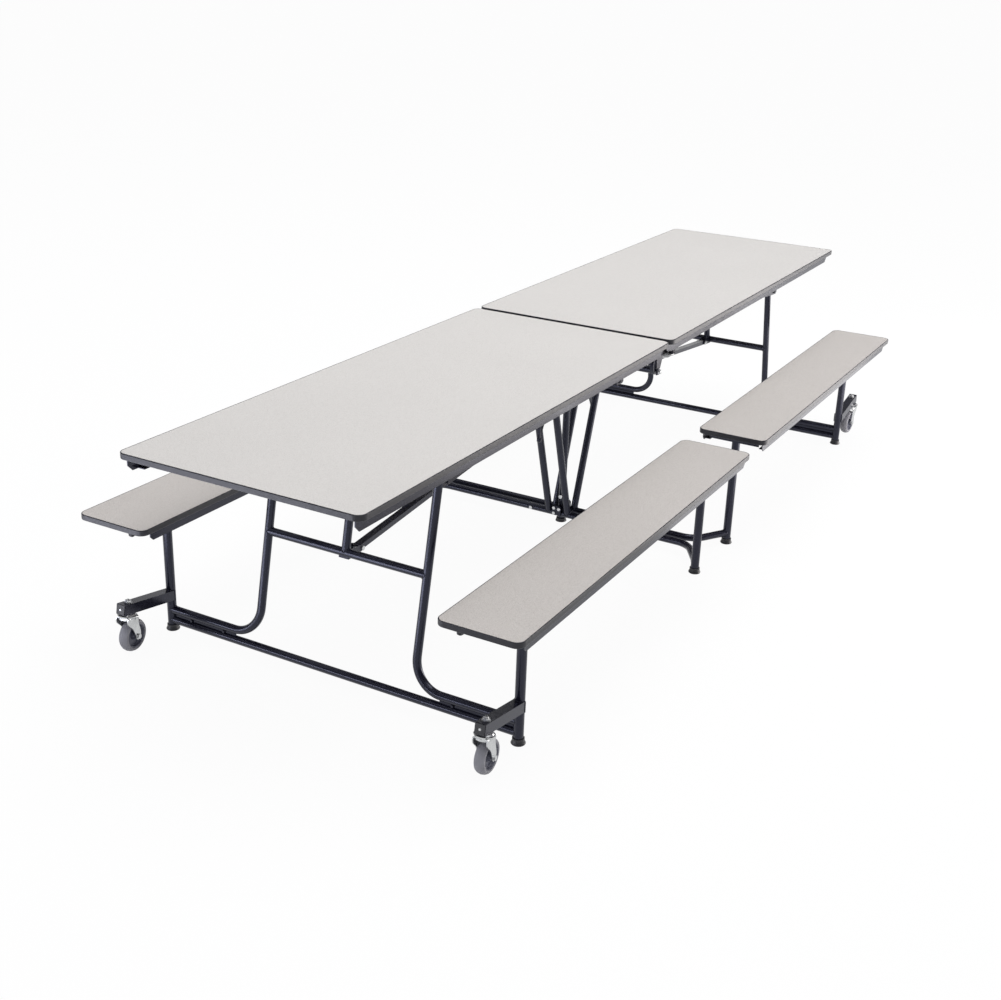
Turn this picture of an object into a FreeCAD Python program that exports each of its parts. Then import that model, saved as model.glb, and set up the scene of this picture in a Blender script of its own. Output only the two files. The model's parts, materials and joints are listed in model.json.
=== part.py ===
import FreeCAD, Part
import math
import os

os.makedirs("parts", exist_ok=True)
V = FreeCAD.Vector

# Whole table: X runs along its length, Y across it, Z up, millimetres.
LENGTH = 3658.0
WIDTH = 762.0
HEIGHT = 749.0
FOLD_GAP = 17.0

# Laminated boards and their vinyl edge band
BOARD = 16.5
BAND = 3.0
BAND_LIP = 0.5
CORNER_R = 26.0

# Benches
BENCH_TOP = 438.0
BENCH_MID_Y = 600.0
BENCH_W = 246.0
BENCH_IN = 66.0
BENCH_OUT = 1658.0

BOARD_UNDER = HEIGHT - BAND_LIP - BOARD
BENCH_UNDER = BENCH_TOP - BAND_LIP - BOARD

# Side channels under the boards
RAIL_H = 36.5
RAIL_FLANGE = 24.0
RAIL_SET_IN = 25.0
RAIL_END = 12.0
BENCH_RAIL_H = 29.5
BENCH_RAIL_SET_IN = 14.0
SHEET = 2.5
RAIL_LOW = BOARD_UNDER - RAIL_H
RAIL_Y = WIDTH / 2.0 - RAIL_SET_IN

# Steel tube
TUBE = 25.4
LEG_TUBE = 28.6
WALL = 1.8
BEND_R = 90.0

# End frames: two J tubes lean inwards from the low tubes to the top's pivots
LEG_X = 1425.0
LEG_Y = 605.0
CROSS_Z = 34.0
RUN_Z = 68.0
J_Y = 271.0
J_LEAN = 117.0
CROSSBAR_Z = 386.0
GLIDE_H = 20.0

# Centre frame
CENTRE_LEG_X = 150.0
CENTRE_LEG_Y = 592.0
CENTRE_TUBE_X = 25.6
CENTRE_TUBE_Z = 40.0
CENTRE_BEND_R = 80.0
CENTRE_TURN = 58.0
BENCH_ARM = 187.0
V_Y = 38.0
V_AIM = 1.0
TIE_Z = 474.0
PAD_H = 12.0
CHEEK_HALF = 17.0

# Pivots: the links of one half all span the same distance, level, so that
# the top half, the benches and the brace turn together as a parallelogram
PIVOT_DROP = 78.0
BENCH_PIVOT_DROP = 22.0
PIVOT_Z = BOARD_UNDER - PIVOT_DROP
BENCH_PIVOT_Z = BENCH_UNDER - BENCH_PIVOT_DROP
BENCH_PIVOT_X = CENTRE_LEG_X + BENCH_ARM
LINK = LEG_X - BENCH_PIVOT_X
END_PIVOT_X = LEG_X - J_LEAN
TOP_PIVOT_X = END_PIVOT_X - LINK
BRACE_PIVOT_Z = CROSSBAR_Z - 5.0
BRACE_END_X = END_PIVOT_X - 6.0
BRACE_IN_X = BRACE_END_X - LINK
PIN_D = 12.0
BOLT_D = 10.0
BRACE_PIN_D = 8.0
BRACE_H = 16.0
BRACE_RISE = 0.1
DROP_BAR_IN = -5.0
LUG_IN = -4.0
RUN = 0.06
OPEN_RUN = 0.5

# Tube under the fold and the lock beside it
FOLD_TUBE_Z = PIVOT_Z - 17.0
FOLD_TUBE_Y = 313.0
LOCK_Z = PIVOT_Z - 8.0
LOCK_X = 33.0
CUP_X = 37.0

# Caster arms and casters
ARM = 32.0
ARM_RISE = 9.6
ARM_LEN = 214.0
ARM_Z = 102.0
WHEEL_D = 100.0
WHEEL_W = 31.0
TRAIL = 30.0


def far(shape):
    return shape.mirror(V(0, 0, 0), V(1, 0, 0))


def left(shape):
    return shape.mirror(V(0, 0, 0), V(0, 1, 0))


def both_sides(shape):
    return [shape, left(shape)]


def box(x0, x1, y0, y1, z0, z1):
    return Part.makeBox(x1 - x0, y1 - y0, z1 - z0, V(x0, y0, z0))


def rod(a, b, d):
    axis = b - a
    return Part.makeCylinder(d / 2.0, axis.Length, a, axis)


def tube(a, b, d=TUBE, wall=WALL):
    return rod(a, b, d).cut(rod(a, b, d - 2 * wall))


def plate_xz(points, y0, y1):
    corners = [V(x, y0, z) for x, z in points]
    face = Part.Face(Part.makePolygon(corners + corners[:1]))
    return face.extrude(V(0, y1 - y0, 0))


def plate_yz(points, x0, x1):
    corners = [V(x0, y, z) for y, z in points]
    face = Part.Face(Part.makePolygon(corners + corners[:1]))
    return face.extrude(V(x1 - x0, 0, 0))


def bent_path(points, radius):
    """Wire through the points with every inner corner rounded."""
    edges = []
    start = points[0]
    for before, corner, after in zip(points, points[1:], points[2:]):
        u = (before - corner).normalize()
        w = (after - corner).normalize()
        half = u.getAngle(w) / 2.0
        reach = radius / math.tan(half)
        inward = (u + w).normalize()
        centre = corner + inward * (radius / math.sin(half))
        a = corner + u * reach
        b = corner + w * reach
        edges.append(Part.makeLine(start, a))
        edges.append(Part.Arc(a, centre - inward * radius, b).toShape())
        start = b
    edges.append(Part.makeLine(start, points[-1]))
    return Part.Wire(edges)


def bent_rod(points, radius, d):
    path = bent_path(points, radius)
    ring = Part.makeCircle(d / 2.0, points[0], points[1] - points[0])
    return path.makePipeShell([Part.Wire([ring])], True, False)


def bent_tube(points, radius, d=TUBE, wall=WALL):
    outer = bent_rod(points, radius, d)
    return outer.cut(bent_rod(points, radius, d - 2 * wall))


def rounded_slab(x0, x1, y0, y1, z0, z1, r):
    slab = box(x0, x1, y0, y1, z0, z1)
    uprights = [e for e in slab.Edges if abs(e.tangentAt(e.FirstParameter).z) > 0.9]
    return slab.makeFillet(r, uprights)


def banded_board(x0, x1, y0, y1, top):
    """A board and the crowned vinyl band round its edge."""
    z1 = top - BAND_LIP
    z0 = z1 - BOARD
    board = rounded_slab(x0 + BAND, x1 - BAND, y0 + BAND, y1 - BAND, z0, z1, CORNER_R - BAND)
    blank = rounded_slab(x0, x1, y0, y1, z0 - BAND_LIP, top, CORNER_R)
    low = z0 - BAND_LIP + 0.01
    rims = [e for e in blank.Edges if e.BoundBox.ZMax < low or e.BoundBox.ZMin > top - 0.01]
    blank = blank.makeFillet(2.4, rims)
    hole = rounded_slab(x0 + BAND, x1 - BAND, y0 + BAND, y1 - BAND,
                        z0 - 5, top + 5, CORNER_R - BAND)
    return board, blank.cut(hole)


def channel_rail(x0, x1, y_out, inward, z0, z1, flange, cut=18.0):
    """Channel along X, back outwards; below, its ends are chamfered and the flange stops short."""
    y_a, y_b = sorted((y_out, y_out + inward * SHEET))
    web = box(x0, x1, y_a, y_b, z0, z1)
    f_a, f_b = sorted((y_out, y_out + inward * flange))
    rail = web.fuse([box(x0, x1, f_a, f_b, z1 - SHEET, z1),
                     box(x0 + 2 * cut, x1 - 2 * cut, f_a, f_b, z0, z0 + SHEET)])
    for x, way in ((x0, 1), (x1, -1)):
        corner = [(x - way, z0 - 1), (x + way * cut, z0 - 1), (x - way, z0 + cut)]
        rail = rail.cut(plate_xz(corner, f_a - 1, f_b + 1))
    return rail.removeSplitter()


def hex_bolt(head, way, shank_d, shank_len, across=17.0, thick=7.0):
    """Hexagon head standing off its seat, shank running the other way."""
    axis = V(*way)
    axis.normalize()
    turn = FreeCAD.Rotation(V(0, 0, 1), axis)
    pts = []
    for i in range(7):
        a = math.radians(60 * i + 30)
        pts.append(V(math.cos(a), math.sin(a), 0) * (across / math.sqrt(3)))
    hexa = Part.Face(Part.makePolygon(pts)).extrude(V(0, 0, thick))
    shank = Part.makeCylinder(shank_d / 2.0, shank_len, V(0, 0, 0), V(0, 0, -1))
    bolt = hexa.fuse(shank)
    bolt.Placement = FreeCAD.Placement(V(*head), turn)
    return bolt


def glide(x, y, tube_d):
    """Flared rubber foot with a collar that closes the end of a leg tube."""
    r = tube_d / 2.0
    waist = GLIDE_H - 6
    sole = Part.Arc(V(r + 2.5, 0, 0), V(r + 5.4, 0, 1.2), V(r + 6.4, 0, 4)).toShape()
    flare = Part.Arc(V(r + 6.4, 0, 4), V(r + 4.2, 0, 0.6 * waist), V(r + 2.2, 0, waist)).toShape()
    collar = Part.makePolygon([V(r + 2.2, 0, waist), V(r + 3, 0, waist + 1), V(r + 3, 0, GLIDE_H - 1),
                               V(r + 2, 0, GLIDE_H), V(0, 0, GLIDE_H), V(0, 0, 0), V(r + 2.5, 0, 0)])
    face = Part.Face(Part.Wire([sole, flare] + collar.Edges))
    foot = face.revolve(V(0, 0, 0), V(0, 0, 1), 360)
    foot.translate(V(x, y, 0))
    return foot


def put(name, shapes):
    shape = Part.makeCompound(shapes) if len(shapes) > 1 else shapes[0]
    shape.exportStep("parts/" + name + ".step")


# ---- table top -----------------------------------------------------------

def hanger(x, y_in, reach):
    """Long tapered plate that carries a pivot pin below the board."""
    low = PIVOT_Z - 16
    shape = [(x - 30, BOARD_UNDER), (x - 30, PIVOT_Z + 4), (x - 21, low), (x + 10, low + 1),
             (x + 0.45 * reach, low + 14), (x + reach, RAIL_LOW), (x + reach, BOARD_UNDER)]
    plate = plate_xz(shape, y_in - 5, y_in)
    pin = rod(V(x, y_in - 6, PIVOT_Z), V(x, y_in + 1, PIVOT_Z), PIN_D)
    return plate.cut(pin)


def top_parts():
    x0 = -LENGTH / 2.0
    x1 = -FOLD_GAP / 2.0
    return banded_board(x0, x1, -WIDTH / 2.0, WIDTH / 2.0, HEIGHT)


def top_steel():
    """Side channels, cross members and pivot hangers under one half."""
    x0 = -LENGTH / 2.0 + RAIL_END
    x1 = -FOLD_GAP / 2.0 - 10
    y = RAIL_Y - RAIL_FLANGE
    z1 = BOARD_UNDER
    rails = both_sides(channel_rail(x0, x1, -RAIL_Y, 1, RAIL_LOW, z1, RAIL_FLANGE))
    crosses = [box(x, x + 40, -y, y, z1 - 18, z1).cut(box(x + 2, x + 38, -y - 1, y + 1, z1 - 18, z1 - 2))
               for x in (x0 + 40, -TOP_PIVOT_X - 460, x1 - 70)]
    hangers = []
    for x, reach in ((-END_PIVOT_X, 320), (-TOP_PIVOT_X, 60)):
        hangers += both_sides(hanger(x, -J_Y - 22, reach))
    return rails + crosses + hangers


def pivot_bolts(x):
    """Black pivot pins through the hangers, hexagon heads outwards."""
    y = -J_Y - 27
    return both_sides(hex_bolt((x, y, PIVOT_Z), (0, -1, 0), PIN_D, 5 + 24, 19, 7))


def pivot_tube(x):
    """Cross tube that turns on the pivot pins; its ends are bored for them."""
    y = J_Y + 21
    outer = rod(V(x, -y, PIVOT_Z), V(x, y, PIVOT_Z), TUBE)
    inner = rod(V(x, -y + 26, PIVOT_Z), V(x, y - 26, PIVOT_Z), TUBE - 2 * WALL)
    bore = rod(V(x, -y, PIVOT_Z), V(x, y, PIVOT_Z), PIN_D + 2 * RUN)
    return outer.cut(inner).cut(bore)


def latch_plate():
    """Tapered lock plate that hangs from the side channel at the fold."""
    y = -RAIL_Y
    top = BOARD_UNDER - SHEET
    z = LOCK_Z
    shape = [(-52, top), (-2, top), (-2, RAIL_LOW - 4), (-LOCK_X + 11, z), (-LOCK_X + 6, z - 10),
             (-LOCK_X - 8, z - 12), (-LOCK_X - 13, z), (-52, RAIL_LOW)]
    plate = plate_xz(shape, y + SHEET, y + SHEET + 5)
    lip = plate_xz([(-52, top), (-48, top), (-48, RAIL_LOW), (-LOCK_X - 9, z), (-LOCK_X - 13, z),
                    (-52, RAIL_LOW)], y + SHEET, y + SHEET + 16)
    return plate.fuse(lip).removeSplitter().cut(rod(V(-LOCK_X, y, z), V(-LOCK_X, y + 20, z), BOLT_D))


def latch_strap():
    """Bowed strap beside the lock plate, from the channel to the plate's foot."""
    y = -RAIL_Y + SHEET
    low, high = LOCK_Z - 4, BOARD_UNDER - 20
    mid = (low + high) / 2.0
    outer = Part.Arc(V(-62, y, high), V(-78, y, mid), V(-62, y, low)).toShape()
    inner = Part.Arc(V(-58, y, low), V(-74, y, mid), V(-58, y, high)).toShape()
    ends = [Part.makeLine(V(-62, y, low), V(-58, y, low)), Part.makeLine(V(-58, y, high), V(-62, y, high))]
    face = Part.Face(Part.Wire([outer, ends[0], inner, ends[1]]))
    strap = face.extrude(V(0, 14, 0))
    foot = box(-62, -LOCK_X - 8, y, y + 5, low, low + 9)
    return strap.fuse([foot, box(-62, -54, y, y + 5, RAIL_LOW, high)]).cut(latch_plate()).removeSplitter()


def latch_cup():
    """Flanged spring cup of the lock, hollow above, under the other half's side channel."""
    points = [V(0, 0, -16), V(14, 0, -16), V(18, 0, -13), V(21, 0, -8), V(31, 0, -4), V(33, 0, -2),
              V(33, 0, 0), V(29, 0, 0), V(18, 0, -5), V(14, 0, -12), V(5, 0, -12), V(5, 0, -2), V(0, 0, -2)]
    face = Part.Face(Part.makePolygon(points + points[:1]))
    cup = face.revolve(V(0, 0, 0), V(0, 0, 1), 360)
    cup.translate(V(CUP_X, -RAIL_Y + 11, RAIL_LOW))
    return cup


# ---- benches -------------------------------------------------------------

def bench_boards(y):
    half = BENCH_W / 2.0
    return banded_board(-BENCH_OUT, -BENCH_IN, y - half, y + half, BENCH_TOP)


def bench_lugs(x, y, arm_half):
    """Two ears under the seat that hold the pivot pin of a leg or arm."""
    shapes = []
    for side in (-1, 1):
        y_a, y_b = sorted((y + side * (arm_half + 1.5), y + side * (arm_half + 5.5)))
        z = BENCH_PIVOT_Z
        ear = plate_xz([(x - 20, BENCH_UNDER), (x - 20, z), (x - 10, z - 13), (x + 10, z - 13),
                        (x + 20, z), (x + 20, BENCH_UNDER)], y_a, y_b)
        shapes.append(ear.cut(rod(V(x, y_a - 1, z), V(x, y_b + 1, z), 10)))
    return shapes


def bench_steel(y):
    """Seat channels, end angles and pivot ears of one bench."""
    z1 = BENCH_UNDER
    z0 = z1 - BENCH_RAIL_H
    x0, x1 = -BENCH_OUT + 45, -BENCH_IN - 20
    y_a = y - BENCH_W / 2.0 + BENCH_RAIL_SET_IN
    y_b = y + BENCH_W / 2.0 - BENCH_RAIL_SET_IN
    rails = [channel_rail(x0, x1, y_a, 1, z0, z1, 20, 12), channel_rail(x0, x1, y_b, -1, z0, z1, 20, 12)]
    angles = []
    for x, way in ((x0 + 60, 1), (x1 - 20, -1)):
        e0, e1 = sorted((x, x + way * SHEET))
        angles.append(box(e0, e1, y_a + 20, y_b - 20, z1 - 22, z1))
    ears = bench_lugs(-LEG_X, -LEG_Y, 19) + bench_lugs(-BENCH_PIVOT_X, -CENTRE_LEG_Y, 14)
    return rails + angles + ears


def bench_bolts():
    """Pivot bolts through each pair of ears, with nuts."""
    bolts = []
    for x, y, half in ((-LEG_X, -LEG_Y, 19), (-BENCH_PIVOT_X, -CENTRE_LEG_Y, 14)):
        z = BENCH_PIVOT_Z
        bolts.append(hex_bolt((x, y - half - 5.5, z), (0, -1, 0), 10, 2 * half + 19, 16, 6))
        nut = hex_bolt((x, y + half + 5.5, z), (0, 1, 0), 10, 0.5, 16, 8)
        bolts.append(nut.cut(rod(V(x, y, z), V(x, y + 60, z), 10)))
    return bolts


def bench_bumper(y):
    """Rubber knob under the seat's outer end."""
    x = -BENCH_OUT + 24
    cap = Part.makeCone(9, 11, 16, V(x, y, BENCH_UNDER - 16))
    return cap.fuse(Part.makeCylinder(5, 3, V(x, y, BENCH_UNDER - 19)))


# ---- end frame -----------------------------------------------------------

def leg_rod(y):
    return rod(V(-LEG_X, y, GLIDE_H), V(-LEG_X, y, BENCH_PIVOT_Z), LEG_TUBE)


def bench_leg(run):
    """Leg tube with a cross barrel at its top that the seat turns on."""
    y, z = -LEG_Y, BENCH_PIVOT_Z
    leg = tube(V(-LEG_X, y, GLIDE_H), V(-LEG_X, y, z - 4), LEG_TUBE)
    barrel = rod(V(-LEG_X, y - 19, z), V(-LEG_X, y + 19, z), 22)
    bore = rod(V(-LEG_X, y - 20, z), V(-LEG_X, y + 20, z), 10 + 2 * run)
    return leg.fuse(barrel).cut(bore)


def cross_tube():
    """Lowest tube, coped against the legs and clear of the glides below them."""
    feet = [leg_rod(-LEG_Y), leg_rod(LEG_Y)]
    for y in (-LEG_Y, LEG_Y):
        feet.append(rod(V(-LEG_X, y, 0), V(-LEG_X, y, GLIDE_H + 0.3), LEG_TUBE + 9))
    return trim(tube(V(-LEG_X, -LEG_Y, CROSS_Z), V(-LEG_X, LEG_Y, CROSS_Z)), feet)


def trim(shape, others):
    """Cope a tube's ends against what it is welded to, keeping its long piece."""
    for other in others:
        shape = shape.cut(other)
    return max(shape.Solids, key=lambda s: s.Volume)


def j_path(side):
    z = PIVOT_Z
    return [V(-END_PIVOT_X, side * J_Y, z), V(-LEG_X, side * J_Y, RUN_Z), V(-LEG_X, side * LEG_Y, RUN_Z)]


def j_rod(side):
    return bent_rod(j_path(side), BEND_R, TUBE)


def j_tube(side):
    shape = bent_tube(j_path(side), BEND_R)
    pivot = rod(V(-END_PIVOT_X, -400, PIVOT_Z), V(-END_PIVOT_X, 400, PIVOT_Z), TUBE)
    return trim(shape, [leg_rod(side * LEG_Y), pivot])


def crossbar_x(z=CROSSBAR_Z):
    return -LEG_X + (LEG_X - END_PIVOT_X) * (z - RUN_Z) / (PIVOT_Z - RUN_Z)


def crossbar():
    x = crossbar_x()
    bar = tube(V(x, -J_Y, CROSSBAR_Z), V(x, J_Y, CROSSBAR_Z))
    return trim(bar, [j_rod(-1), j_rod(1)])


def stub():
    a = V(crossbar_x(), 0, CROSSBAR_Z)
    b = V(-END_PIVOT_X, 0, PIVOT_Z)
    bar = rod(a + V(0, -J_Y, 0), a + V(0, J_Y, 0), TUBE)
    pivot = rod(b + V(0, -J_Y, 0), b + V(0, J_Y, 0), TUBE)
    return trim(tube(a, b), [bar, pivot])


def web_strip(side):
    """Strip between the low cross tube and the J tube above it, with two plug welds."""
    y0, y1 = sorted((side * (J_Y + BEND_R - 4), side * (LEG_Y - LEG_TUBE / 2.0)))
    strip = box(-LEG_X - 2, -LEG_X + 2, y0, y1, CROSS_Z, RUN_Z)
    for z in (CROSS_Z, RUN_Z):
        strip = strip.cut(rod(V(-LEG_X, y0 - 1, z), V(-LEG_X, y1 + 1, z), TUBE))
    strip = strip.cut(leg_rod(side * LEG_Y))
    mid = (CROSS_Z + RUN_Z) / 2.0
    knobs = []
    for share in (0.16, 0.67):
        y = side * (J_Y + BEND_R + share * (LEG_Y - J_Y - BEND_R))
        knobs.append(Part.makeCone(6, 4, 6, V(-LEG_X - 2, y, mid), V(-1, 0, 0)))
    low = max(strip.Solids, key=lambda piece: piece.Volume)
    return low.fuse(knobs).cut(rod(V(-LEG_X, y0, RUN_Z), V(-LEG_X, y1, RUN_Z), TUBE)).cut(
        rod(V(-LEG_X, y0, CROSS_Z), V(-LEG_X, y1, CROSS_Z), TUBE))


def caster_arm():
    """Square tube that carries a caster outwards from the leg, rising a little."""
    half = ARM / 2.0
    arm = box(-ARM_LEN, 0, -half, half, 0, ARM).cut(
        box(-ARM_LEN + 3, 1, -half + 2.2, half - 2.2, 2.2, ARM - 2.2))
    arm = arm.cut(rod(V(-ARM_LEN + 28, 0, -5), V(-ARM_LEN + 28, 0, ARM + 5), 12))
    place_arm(arm)
    return arm.cut(leg_rod(-LEG_Y)).Solids[0]


def place_arm(shape):
    shape.rotate(V(0, 0, 0), V(0, 1, 0), ARM_RISE)
    shape.translate(V(-LEG_X - 2, -LEG_Y, ARM_Z))


def arm_plug():
    """Cap in the arm's open end."""
    half = ARM / 2.0
    plug = box(-ARM_LEN - 2, -ARM_LEN, -half + 1, half - 1, 1, ARM - 1)
    place_arm(plug)
    return plug


def plug_rivet():
    """Domed rivet in the middle of the cap."""
    rivet = Part.makeCone(4.2, 2.4, 1.8, V(-ARM_LEN - 2, 0, ARM / 2.0), V(-1, 0, 0))
    place_arm(rivet)
    return rivet


def brace_saddle():
    """Small clip under the crossbar with two ears for the brace's bolt."""
    x = crossbar_x()
    z = CROSSBAR_Z
    r = TUBE / 2.0
    clip = box(x - r + 3, x + r + 2, -17, 17, z - r - 2.5, z - 4)
    shapes = [clip.cut(rod(V(x, -30, z), V(x, 30, z), TUBE))]
    for side in (-1, 1):
        y_a, y_b = sorted((side * 13, side * 16))
        ear = plate_xz([(x + r - 6, z - r - 2), (-BRACE_END_X - 2, BRACE_PIVOT_Z - 8),
                        (-BRACE_END_X + 8, BRACE_PIVOT_Z - 3), (-BRACE_END_X + 7, BRACE_PIVOT_Z + 6),
                        (-BRACE_END_X - 3, BRACE_PIVOT_Z + 9), (x + r - 4, z + 10)], y_a, y_b)
        ear = ear.cut(rod(V(x, -30, z), V(x, 30, z), TUBE))
        shapes.append(ear.cut(brace_pin(-BRACE_END_X)))
    return shapes[0].fuse(shapes[1:]).removeSplitter()


def brace_pin(x, gap=0.0):
    d = BRACE_PIN_D + 2 * gap
    return rod(V(x, -30, BRACE_PIVOT_Z), V(x, 30, BRACE_PIVOT_Z), d)


def brace_bolt():
    """Bolt and nut through the saddle's ears and the brace."""
    x, z = -BRACE_END_X, BRACE_PIVOT_Z
    bolt = hex_bolt((x, -16, z), (0, -1, 0), BRACE_PIN_D, 38, 13, 4)
    nut = hex_bolt((x, 16, z), (0, 1, 0), BRACE_PIN_D, 0.5, 13, 6)
    return [bolt, nut.cut(brace_pin(x))]


# ---- brace ---------------------------------------------------------------

def brace(run_out, run_in):
    """Channel strut that climbs inwards, and a drop bar that brings its pivot back level."""
    z = BRACE_PIVOT_Z
    x_a, x_b = -BRACE_END_X, -BRACE_IN_X

    def mid(x):
        return z + 1 + BRACE_RISE * (x - x_a)

    half = BRACE_H / 2.0
    x0, x1 = x_a - 10, x_b + 8
    outline = [(x0, mid(x0) - half), (x1, mid(x1) - half), (x1, mid(x1) + half), (x0, mid(x0) + half)]
    outer = plate_xz(outline, -12, 12)
    inside = [(x0 - 9, mid(x0) - half - 2), (x1 + 9, mid(x1) - half - 2),
              (x1 + 9, mid(x1) + half - 2), (x0 - 9, mid(x0) + half - 3)]
    channel = outer.cut(plate_xz(inside, -10, 10))
    bar = box(x_b - 8, x_b + 8, -10, DROP_BAR_IN, z, mid(x_b) + half - 2.5)
    eye = rod(V(x_b, -10, z), V(x_b, DROP_BAR_IN, z), 18)
    shape = channel.fuse([bar, eye]).removeSplitter()
    return shape.cut(brace_pin(x_a, run_out)).cut(brace_pin(x_b, run_in))


# ---- centre frame ---------------------------------------------------------

def v_point(z):
    """Axis of the near V tubes at a height."""
    k = (TOP_PIVOT_X - CENTRE_TUBE_X) / (PIVOT_Z - V_AIM - CENTRE_TUBE_Z)
    return -CENTRE_TUBE_X - k * (z - CENTRE_TUBE_Z)


def v_ends(y):
    """Axis ends of a near V tube, the upper one just under the pivot's axis."""
    return V(-CENTRE_TUBE_X, y, CENTRE_TUBE_Z), V(-TOP_PIVOT_X, y, PIVOT_Z - V_AIM)


def v_rod(y):
    low, high = v_ends(y)
    return rod(low, high, TUBE)


def v_tube(y):
    """Leaning tube, coped on the low cross tube and under the pivot tube."""
    low, high = v_ends(y)
    shape = tube(low, high)
    pivot = rod(V(-TOP_PIVOT_X, -99, PIVOT_Z), V(-TOP_PIVOT_X, 99, PIVOT_Z), TUBE)
    foot = rod(V(-CENTRE_TUBE_X, -99, CENTRE_TUBE_Z), V(-CENTRE_TUBE_X, 99, CENTRE_TUBE_Z), TUBE)
    return trim(shape, [pivot, foot])


def centre_post():
    """Upright from the floor pad to the tube under the fold."""
    post = tube(V(0, 0, PAD_H), V(0, 0, FOLD_TUBE_Z), TUBE)
    return trim(post, [rod(V(0, -99, FOLD_TUBE_Z), V(0, 99, FOLD_TUBE_Z), TUBE)] + centre_bolts())


def centre_leg_rod(y):
    return rod(V(-CENTRE_LEG_X, y, GLIDE_H), V(-CENTRE_LEG_X, y, BENCH_PIVOT_Z + 8), LEG_TUBE)


def centre_leg():
    a = V(-CENTRE_LEG_X, -CENTRE_LEG_Y, GLIDE_H)
    b = V(-CENTRE_LEG_X, -CENTRE_LEG_Y, BENCH_PIVOT_Z + 8)
    return tube(a, b, LEG_TUBE)


def bench_arm(run):
    """Short arm from a centre leg out to the seat's pivot barrel."""
    x, y, z = -BENCH_PIVOT_X, -CENTRE_LEG_Y, BENCH_PIVOT_Z
    arm = box(x, -CENTRE_LEG_X, y - 10, y + 10, z - 11, z + 9)
    barrel = rod(V(x, y - 14, z), V(x, y + 14, z), 24)
    arm = arm.fuse(barrel).cut(rod(V(x, y - 20, z), V(x, y + 20, z), 10 + 2 * run))
    return trim(arm, [centre_leg_rod(y)])


def centre_cross_path():
    """Straight across the middle, turned out at both ends to the legs."""
    x, z = -CENTRE_TUBE_X, CENTRE_TUBE_Z
    run = (CENTRE_LEG_X - CENTRE_TUBE_X) / math.tan(math.radians(CENTRE_TURN))
    bend_y = CENTRE_LEG_Y - run
    return [V(-CENTRE_LEG_X, -CENTRE_LEG_Y, z), V(x, -bend_y, z), V(x, bend_y, z),
            V(-CENTRE_LEG_X, CENTRE_LEG_Y, z)]


def centre_cross_tube():
    """Low tube across the centre, coped against its legs."""
    legs = [centre_leg_rod(-CENTRE_LEG_Y), centre_leg_rod(CENTRE_LEG_Y)]
    return trim(bent_tube(centre_cross_path(), CENTRE_BEND_R), legs + centre_bolts())


def floor_bracket():
    """Saddle over the two low cross tubes, bored for the post, cheeks outside."""
    r = TUBE / 2.0
    x_out = CENTRE_TUBE_X + r
    z_top = CENTRE_TUBE_Z + r
    low, high = CENTRE_TUBE_Z - 6, CENTRE_TUBE_Z + 30
    cheek = plate_yz([(-CHEEK_HALF, low), (CHEEK_HALF, low), (CHEEK_HALF, high - 6),
                      (CHEEK_HALF - 6, high), (-CHEEK_HALF + 6, high), (-CHEEK_HALF, high - 6)],
                     -x_out - 4, -x_out)
    lid = box(-x_out, x_out, -CHEEK_HALF, CHEEK_HALF, z_top, z_top + 4)
    saddle = cheek.fuse([far(cheek), lid])
    return saddle.cut(Part.makeCylinder(TUBE / 2.0, 200)).removeSplitter()


def upper_cross():
    """Pivot tubes of both halves, the tube under the fold and the bars between."""
    r = TUBE / 2.0
    ends = (V(0, -FOLD_TUBE_Y, FOLD_TUBE_Z), V(0, FOLD_TUBE_Y, FOLD_TUBE_Z))
    pivots = [pivot_tube(-TOP_PIVOT_X), pivot_tube(TOP_PIVOT_X)]
    cuts = [rod(ends[0], ends[1], TUBE)]
    for x in (-TOP_PIVOT_X, TOP_PIVOT_X):
        cuts.append(rod(V(x, -99, PIVOT_Z), V(x, 99, PIVOT_Z), TUBE))
    bars = []
    for y in (-V_Y, V_Y):
        bar = box(-TOP_PIVOT_X, TOP_PIVOT_X, y - 10, y + 10, PIVOT_Z - r + 1, PIVOT_Z + r - 1)
        bars.append(trim(bar, cuts + [v_rod(y), far(v_rod(y))]))
    return pivots + [tube(ends[0], ends[1])] + bars


def brace_lug():
    """High tie between two V tubes with a bar down to the brace's inner pivot."""
    z = BRACE_PIVOT_Z
    x = v_point(TIE_Z)
    tie = rod(V(x, -V_Y, TIE_Z), V(x, V_Y, TIE_Z), 20)
    for y in (-V_Y, V_Y):
        tie = tie.cut(v_rod(y))
    tie = max(tie.Solids, key=lambda piece: piece.Volume)
    x_p = -BRACE_IN_X
    bar = plate_xz([(x - 8, TIE_Z), (x_p - 8, z), (x_p + 8, z), (x + 9, TIE_Z)], LUG_IN, LUG_IN + 5)
    eye = rod(V(x_p, LUG_IN, z), V(x_p, LUG_IN + 5, z), 18)
    pin = rod(V(x_p, -13, z), V(x_p, LUG_IN + 1, z), BRACE_PIN_D)
    cap = rod(V(x_p, -12.5, z), V(x_p, -10.5, z), 13)
    return tie.fuse([bar, eye, pin, cap]).removeSplitter()


def centre_bolts():
    """Bolts of the floor bracket, of the low cross tubes and of the post."""
    x = -CENTRE_TUBE_X - TUBE / 2.0
    z = CENTRE_TUBE_Z
    bolts = [hex_bolt((x + 0.6, side * 108, z), (-1, 0, 0), 6, 5, 12, 4.5) for side in (-1, 1)]
    bolts += [hex_bolt((x - 4, y, dz), (-1, 0, 0), 6, 3, 11, 4)
              for y, dz in ((10, z + 22), (10, z + 2), (-10, z + 20))]
    bolts.append(hex_bolt((-TUBE / 2.0 + 0.5, 0, z + 58), (-1, 0, 0), 6, 2, 13, 5))
    return bolts + [far(b) for b in bolts]


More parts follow.
